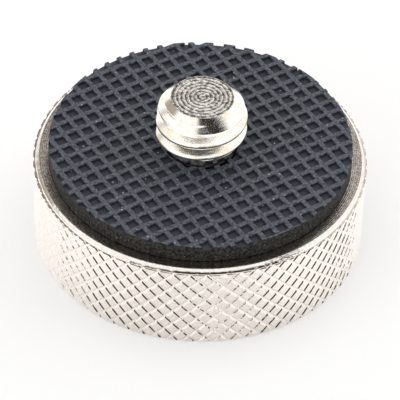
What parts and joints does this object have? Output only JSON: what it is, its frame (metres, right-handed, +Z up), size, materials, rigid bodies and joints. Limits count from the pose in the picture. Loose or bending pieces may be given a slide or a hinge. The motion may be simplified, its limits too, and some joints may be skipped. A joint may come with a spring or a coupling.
{
  "type": "tripod thread adapter",
  "caption": "Knurled round metal adapter with a threaded stud on top, a threaded hole underneath and a waffle-faced rubber pad, for joining a camera or head to a tripod.",
  "frame": {"origin": "middle of the disc's flat base", "axes": "+Z up along the stud; X and Y lie in the base, and -Y faces the viewer of the picture"},
  "size_m": [0.035, 0.035, 0.0181],
  "materials": {
    "nickel_plate": "bright nickel plate on turned and knurled brass",
    "rubber": "moulded matt rubber sheet with a waffle face, die cut"
  },
  "bodies": {
    "root": {"knurled_disc_and_stud": "nickel_plate", "waffle_pad": "rubber"}
  },
  "joints": []
}
